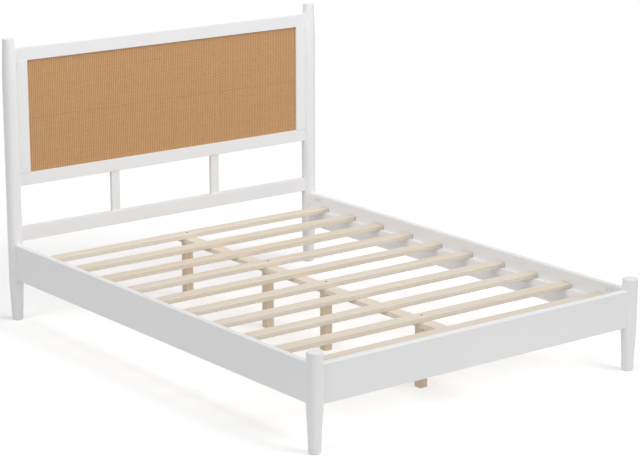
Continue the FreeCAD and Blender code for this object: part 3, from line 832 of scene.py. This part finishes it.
@dataclass
class Headboard:
    """Tall posts, rails, stiles, spindles, and the panel with its board and beads."""

    uprights: Tuple[str, ...] = ("head_post_left", "head_post_right", "headboard_stile_left",
                                 "headboard_stile_right", "headboard_spindle_left",
                                 "headboard_spindle_right")
    crosswise: Tuple[str, ...] = ("headboard_top_rail", "headboard_panel_rail", "headboard_lower_rail",
                                  "panel_beads")

    def build(self) -> None:
        """Dresses the frame and weaves the sheet."""
        dress(self.uprights, SatinLacquer("white_lacquer_on_uprights", grain=Grain.ALONG_Z))
        dress(self.crosswise, SatinLacquer("white_lacquer_on_headboard_rails", grain=Grain.ALONG_X))
        dress(["panel_backing_board"],
              PlanedWood("birch_plywood", grain=Grain.ALONG_X, pale="#DCC6A2", warm="#CDB185",
                         fibre="#A98A60", band_mm=26.0, band_stretch=9.0, board_share=0.0,
                         roughness=0.7))
        RattanWeave().build()


@dataclass
class SideAndFootRails:
    """Short posts at the foot, footboard rail, and side rails with their ledges."""

    uprights: Tuple[str, ...] = ("foot_post_left", "foot_post_right")
    crosswise: Tuple[str, ...] = ("footboard_rail",)
    lengthwise: Tuple[str, ...] = ("side_rail_left", "side_rail_right", "slat_ledge_left",
                                   "slat_ledge_right")

    def build(self) -> None:
        """Dresses the posts, rails and ledges."""
        dress(self.uprights, SatinLacquer("white_lacquer_on_foot_posts", grain=Grain.ALONG_Z))
        dress(self.crosswise, SatinLacquer("white_lacquer_on_footboard", grain=Grain.ALONG_X))
        dress(self.lengthwise, SatinLacquer("white_lacquer_on_side_rails", grain=Grain.ALONG_Y))


@dataclass
class SlatBase:
    """Slats, the beam under them and its legs."""

    slat_count: int = 10
    leg_count: int = 4

    def build(self) -> None:
        """Dresses the bare wood."""
        dress([f"slat_{number:02d}" for number in range(1, self.slat_count + 1)],
              PlanedWood("planed_poplar_slats", grain=Grain.ALONG_X))
        dress(["centre_beam"],
              PlanedWood("planed_poplar_beam", grain=Grain.ALONG_Y, board_share=0.0))
        dress([f"centre_leg_{number}" for number in range(1, self.leg_count + 1)],
              PlanedWood("planed_poplar_legs", grain=Grain.ALONG_Z, pale="#E9D8C1", warm="#DFC8AA",
                         fibre_share=0.15, board_mm=400.0))


@dataclass
class Fittings:
    """Pocket covers, bolts, nuts, washers, screws, inserts, dowels and pegs."""

    plated: Tuple[str, ...] = ("centre_leg_inserts", "bed_studs", "bed_crescent_washers", "bed_nuts",
                               "post_inserts")
    wooden: Tuple[str, ...] = ("headboard_rail_dowels", "headboard_frame_dowels", "footboard_dowels",
                               "slat_pegs")

    def build(self) -> None:
        """Dresses the plastic, the steel and the wooden fittings."""
        dress(["pocket_covers"], MouldedPlastic("white_moulded_plastic"))
        dress(["ledge_screws"], SatinLacquer("white_lacquer_over_screw_heads"))
        dress(["centre_leg_bolts"],
              PlatedSteel("black_oxide_steel", bright="#303033", cloudy="#202022", roughness=0.55))
        dress(self.plated, PlatedSteel("zinc_plated_steel"))
        dress(self.wooden,
              PlanedWood("beech_dowel", grain=Grain.ALONG_X, pale="#DDBD96", warm="#D2AC80",
                         fibre="#B4875A", band_mm=3.0, board_share=0.0))


@dataclass(frozen=True)
class SoftBox:
    """Square diffusing lamp, aimed at the middle of the bed."""

    name: str
    place: Triple
    width: float
    watts: float
    aim: Triple = (0.0, 0.0, 0.4)

    def hang(self) -> None:
        """Hangs the lamp in the scene."""
        light = bpy.data.lights.new(self.name, "AREA")
        light.shape = "SQUARE"
        light.size = self.width
        light.energy = self.watts
        lamp = bpy.data.objects.new(self.name, light)
        lamp.location = self.place
        backwards = Vector(self.place) - Vector(self.aim)
        lamp.rotation_euler = backwards.to_track_quat("Z", "Y").to_euler()
        bpy.context.scene.collection.objects.link(lamp)


@dataclass(frozen=True)
class FarLamp:
    """Wide lamp so far away that it lights every piece alike.

    The bearing turns from -Y towards +X, seen from above, and the height is the angle above the
    floor.
    """

    name: str
    bearing: float
    height: float
    strength: float
    width: float = math.radians(34.0)

    def hang(self) -> None:
        """Hangs the lamp in the scene."""
        towards = Vector((math.sin(self.bearing) * math.cos(self.height),
                          -math.cos(self.bearing) * math.cos(self.height), math.sin(self.height)))
        light = bpy.data.lights.new(self.name, "SUN")
        light.energy = self.strength
        light.angle = self.width
        lamp = bpy.data.objects.new(self.name, light)
        lamp.rotation_euler = towards.to_track_quat("Z", "Y").to_euler()
        bpy.context.scene.collection.objects.link(lamp)


@dataclass
class Studio:
    """Floor, room light, lamps and camera."""

    room_light: float = 0.139
    lamps: Tuple[Union[SoftBox, FarLamp], ...] = (
        SoftBox("lamp_overhead", place=(0.0, -0.3, 4.0), width=3.0, watts=79.3),
        FarLamp("lamp_in_front", math.radians(30.0), math.radians(30.0), strength=1.328),
        FarLamp("lamp_at_left", math.radians(-75.0), math.radians(20.0), strength=0.945),
    )
    floor_radius: float = 40.0
    floor_corners: int = 96
    camera_place: Triple = (-5.2876, -6.9201, 2.7291)
    camera_yaw: float = math.radians(37.62)
    camera_pitch: float = math.radians(14.49)
    camera_lens_mm: float = 124.6
    camera_sensor_mm: float = 36.0
    camera_reach: float = 200.0

    def build(self) -> None:
        """Sets up the studio."""
        self._camera()
        self._room()
        for lamp in self.lamps:
            lamp.hang()
        self._floor()
        bpy.context.scene.view_settings.view_transform = "Standard"

    def _camera(self) -> None:
        """Places the camera: yaw turns from +Y towards +X, and pitch looks down."""
        forward = Vector((math.sin(self.camera_yaw) * math.cos(self.camera_pitch),
                          math.cos(self.camera_yaw) * math.cos(self.camera_pitch),
                          -math.sin(self.camera_pitch)))
        lens = bpy.data.cameras.new("camera")
        lens.sensor_width = self.camera_sensor_mm
        lens.lens = self.camera_lens_mm
        lens.clip_end = self.camera_reach
        camera = bpy.data.objects.new("camera", lens)
        camera.location = self.camera_place
        camera.rotation_euler = forward.to_track_quat("-Z", "Y").to_euler()
        bpy.context.scene.collection.objects.link(camera)
        bpy.context.scene.camera = camera

    def _room(self) -> None:
        """Lights the room evenly, and shows it as plain white."""
        room = bpy.data.worlds.new("white_room")
        room.use_nodes = True
        tree = room.node_tree
        tree.nodes.clear()
        level = add_node(tree, "ShaderNodeMapRange",
                         {"Value": seen_ray(tree), "To Min": self.room_light})
        light = add_node(tree, "ShaderNodeBackground",
                         {"Color": linear(WHITE), "Strength": level.outputs["Result"]})
        add_node(tree, "ShaderNodeOutputWorld", {"Surface": light.outputs["Background"]})
        bpy.context.scene.world = room

    def _floor(self) -> None:
        """Lays a round floor at height zero: one flat face whose corners lie on a circle."""
        turn = np.linspace(0.0, 2 * np.pi, self.floor_corners, endpoint=False)
        rim = np.stack([np.cos(turn), np.sin(turn), np.zeros_like(turn)], axis=1) * self.floor_radius
        mesh = bpy.data.meshes.new("studio_floor")
        mesh.from_pydata(rim.tolist(), [], [list(range(self.floor_corners))])
        mesh.materials.append(StudioFloor("matt_white_floor").build())
        floor = bpy.data.objects.new("studio_floor", mesh)
        bpy.context.scene.collection.objects.link(floor)


def main() -> None:
    """Builds the bed's parts in order, then the studio."""
    logging.basicConfig(level=logging.INFO, format="%(name)s: %(message)s")
    for part in (Headboard(), SideAndFootRails(), SlatBase(), Fittings(), Studio()):
        part.build()
        log.info("%s is done", type(part).__name__)


if __name__ == "__main__":
    main()
